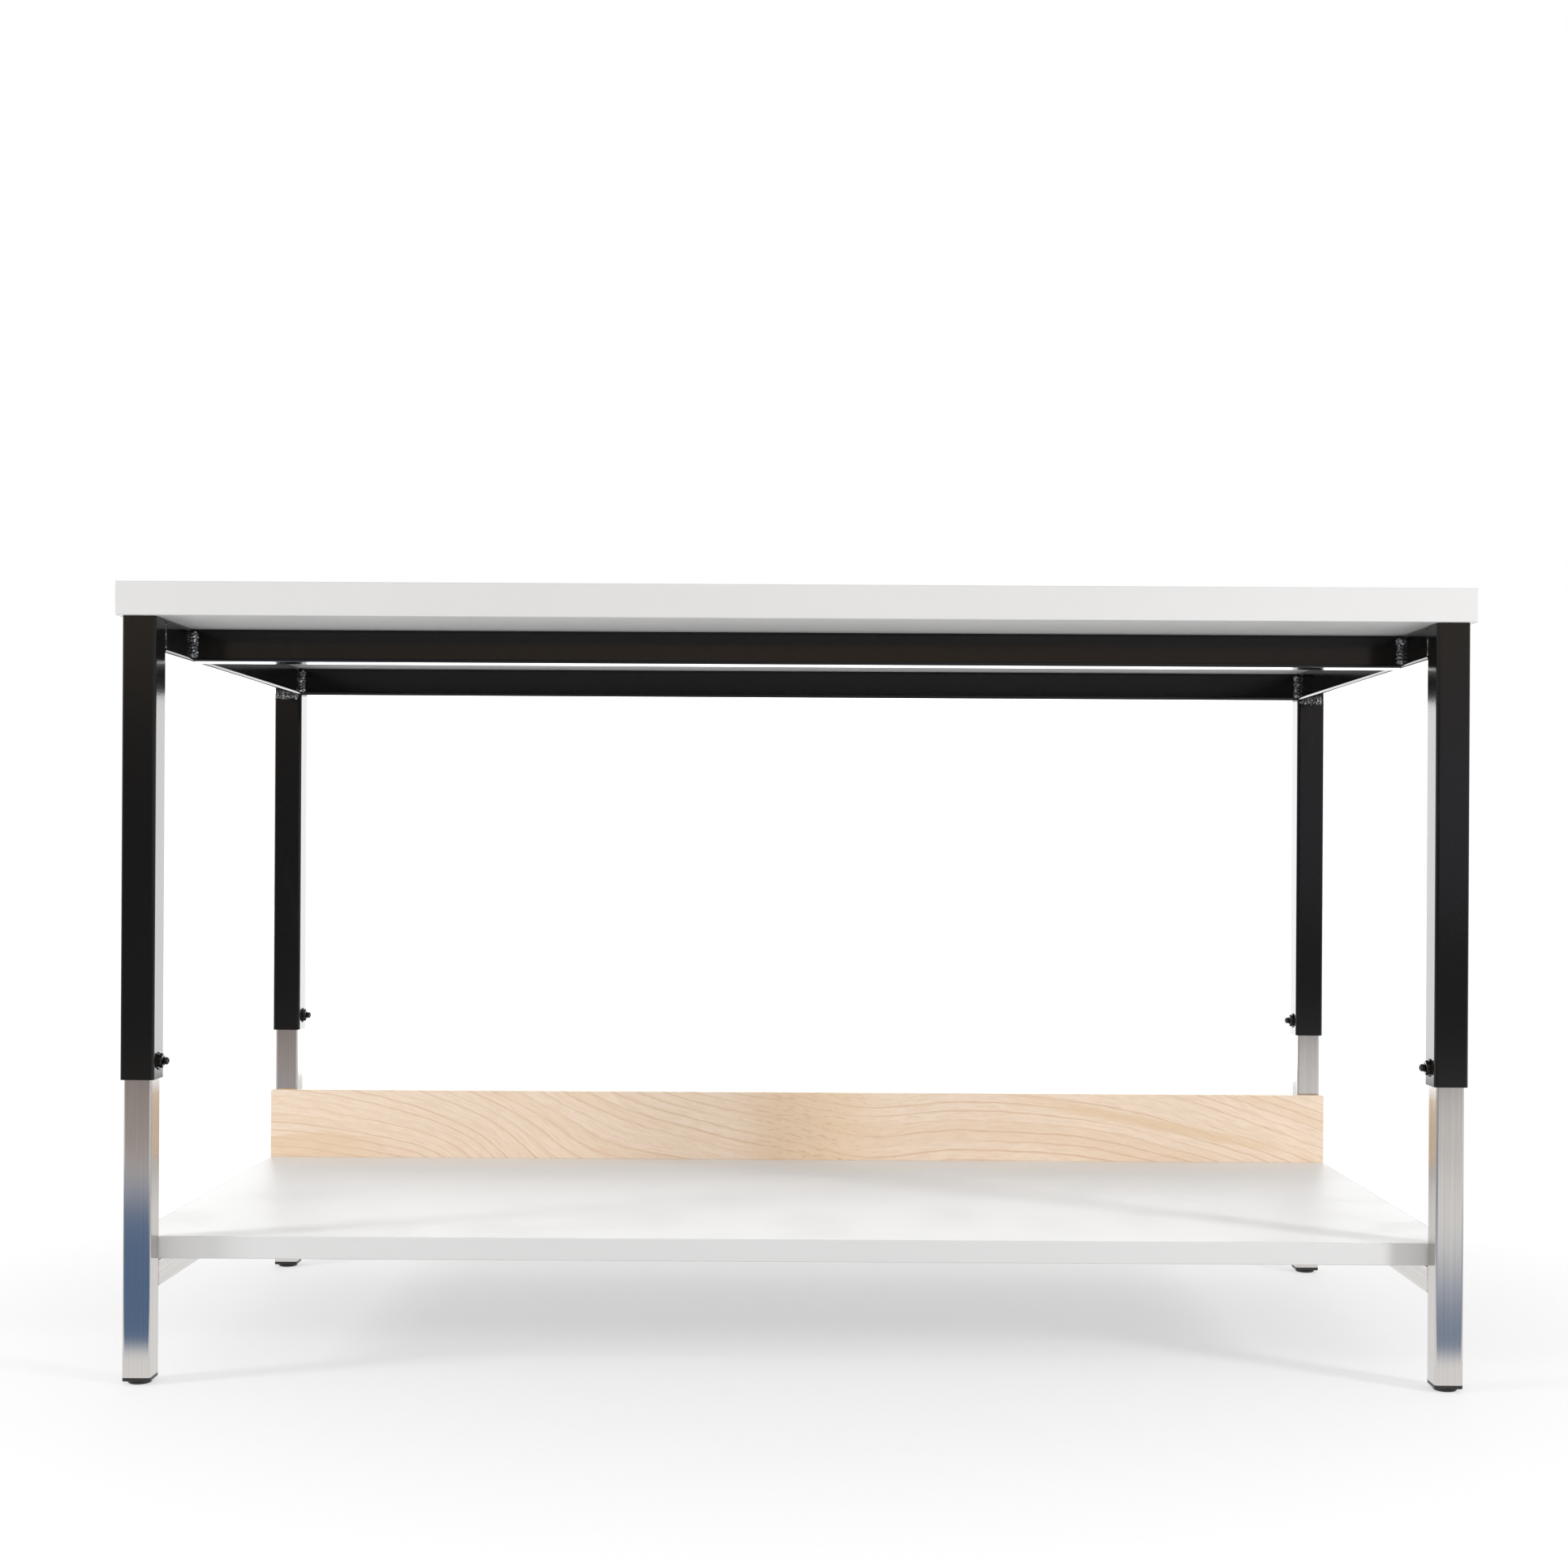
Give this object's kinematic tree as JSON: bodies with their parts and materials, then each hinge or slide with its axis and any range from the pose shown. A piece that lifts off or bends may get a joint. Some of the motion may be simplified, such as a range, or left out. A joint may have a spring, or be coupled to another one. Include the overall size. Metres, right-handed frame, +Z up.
{
  "type": "assembly table",
  "caption": "Height-adjustable workshop table: laminated worktop on a black sleeve frame that slides on brushed steel legs with a lower shelf, back board and levelling glides.",
  "frame": {"origin": "on the floor, under the middle of the worktop, with the glides screwed in", "axes": "+X to the right along the worktop's long side, -Y towards the user at the front, +Z up"},
  "size_m": [1.524, 0.7112, 0.9017],
  "materials": {
    "white_laminate": "satin white laminate",
    "white_edge_band": "satin white edge band",
    "backing_sheet": "matt off-white backing sheet",
    "particle_board": "raw particle board",
    "maple": "clear satin lacquer on maple",
    "black_paint": "semi-gloss black paint",
    "painted_weld": "black paint over rippled weld beads",
    "brushed_steel": "stainless steel brushed along the tube",
    "bare_weld": "weld dressed flush",
    "black_oxide_steel": "black plated steel",
    "zinc_plated_steel": "bright zinc plating",
    "black_plastic": "moulded black plastic"
  },
  "bodies": {
    "lower_frame": {"shelf_core": "particle_board", "shelf_laminate": "white_laminate", "shelf_backer": "backing_sheet", "shelf_edge_front": "white_edge_band", "shelf_edge_rear": "white_edge_band", "shelf_edge_left": "white_edge_band", "shelf_edge_right": "white_edge_band", "back_board": "maple", "lower_leg_front_left": "brushed_steel", "foot_cap_front_left": "black_plastic", "lower_leg_front_right": "brushed_steel", "foot_cap_front_right": "black_plastic", "lower_leg_rear_left": "brushed_steel", "foot_cap_rear_left": "black_plastic", "lower_leg_rear_right": "brushed_steel", "foot_cap_rear_right": "black_plastic", "lower_side_rail_left": "brushed_steel", "lower_side_rail_right": "brushed_steel", "lower_rail_welds": "bare_weld", "shelf_screws": "zinc_plated_steel", "back_board_screws": "zinc_plated_steel", "foot_bushes": "zinc_plated_steel"},
    "upper_frame": {"tabletop_core": "particle_board", "tabletop_laminate": "white_laminate", "tabletop_backer": "backing_sheet", "tabletop_edge_front": "white_edge_band", "tabletop_edge_rear": "white_edge_band", "tabletop_edge_left": "white_edge_band", "tabletop_edge_right": "white_edge_band", "upper_leg_front_left": "black_paint", "upper_leg_front_right": "black_paint", "upper_leg_rear_left": "black_paint", "upper_leg_rear_right": "black_paint", "upper_side_rail_left": "black_paint", "upper_side_rail_right": "black_paint", "upper_rail_front": "black_paint", "upper_rail_rear": "black_paint", "cross_rail_welds": "painted_weld", "side_rail_under_welds": "painted_weld", "side_rail_face_welds": "painted_weld", "lock_screws": "black_oxide_steel", "lock_nuts": "black_oxide_steel", "lock_nut_welds": "painted_weld", "tabletop_screws": "zinc_plated_steel"},
    "glide_pad_front_left": {"glide_pad_front_left": "black_plastic"},
    "glide_stud_front_left": {"glide_stud_front_left": "zinc_plated_steel"},
    "glide_pad_front_right": {"glide_pad_front_right": "black_plastic"},
    "glide_stud_front_right": {"glide_stud_front_right": "zinc_plated_steel"},
    "glide_pad_rear_left": {"glide_pad_rear_left": "black_plastic"},
    "glide_stud_rear_left": {"glide_stud_rear_left": "zinc_plated_steel"},
    "glide_pad_rear_right": {"glide_pad_rear_right": "black_plastic"},
    "glide_stud_rear_right": {"glide_stud_rear_right": "zinc_plated_steel"}
  },
  "joints": [
    {"name": "height_slide", "type": "slide", "parent": "lower_frame", "child": "upper_frame", "axis": [0, 0, 1], "range_m": [0, 0.1524]},
    {"name": "glide_drop_front_left", "type": "slide", "parent": "lower_frame", "child": "glide_pad_front_left", "axis": [0, 0, -1], "range_m": [0, 0.0127]},
    {"name": "glide_turn_front_left", "type": "hinge", "parent": "glide_pad_front_left", "child": "glide_stud_front_left", "pos_m": [-0.7366, -0.3302, 0.02], "axis": [0, 0, -1], "range_deg": [0, 3240]},
    {"name": "glide_drop_front_right", "type": "slide", "parent": "lower_frame", "child": "glide_pad_front_right", "axis": [0, 0, -1], "range_m": [0, 0.0127]},
    {"name": "glide_turn_front_right", "type": "hinge", "parent": "glide_pad_front_right", "child": "glide_stud_front_right", "pos_m": [0.7366, -0.3302, 0.02], "axis": [0, 0, -1], "range_deg": [0, 3240]},
    {"name": "glide_drop_rear_left", "type": "slide", "parent": "lower_frame", "child": "glide_pad_rear_left", "axis": [0, 0, -1], "range_m": [0, 0.0127]},
    {"name": "glide_turn_rear_left", "type": "hinge", "parent": "glide_pad_rear_left", "child": "glide_stud_rear_left", "pos_m": [-0.7366, 0.3302, 0.02], "axis": [0, 0, -1], "range_deg": [0, 3240]},
    {"name": "glide_drop_rear_right", "type": "slide", "parent": "lower_frame", "child": "glide_pad_rear_right", "axis": [0, 0, -1], "range_m": [0, 0.0127]},
    {"name": "glide_turn_rear_right", "type": "hinge", "parent": "glide_pad_rear_right", "child": "glide_stud_rear_right", "pos_m": [0.7366, 0.3302, 0.02], "axis": [0, 0, -1], "range_deg": [0, 3240]}
  ],
  "couplings": [
    {"joint": "glide_drop_front_left", "follows": "glide_turn_front_left", "m_per_rad": 0.00022458},
    {"joint": "glide_drop_front_right", "follows": "glide_turn_front_right", "m_per_rad": 0.00022458},
    {"joint": "glide_drop_rear_left", "follows": "glide_turn_rear_left", "m_per_rad": 0.00022458},
    {"joint": "glide_drop_rear_right", "follows": "glide_turn_rear_right", "m_per_rad": 0.00022458}
  ]
}
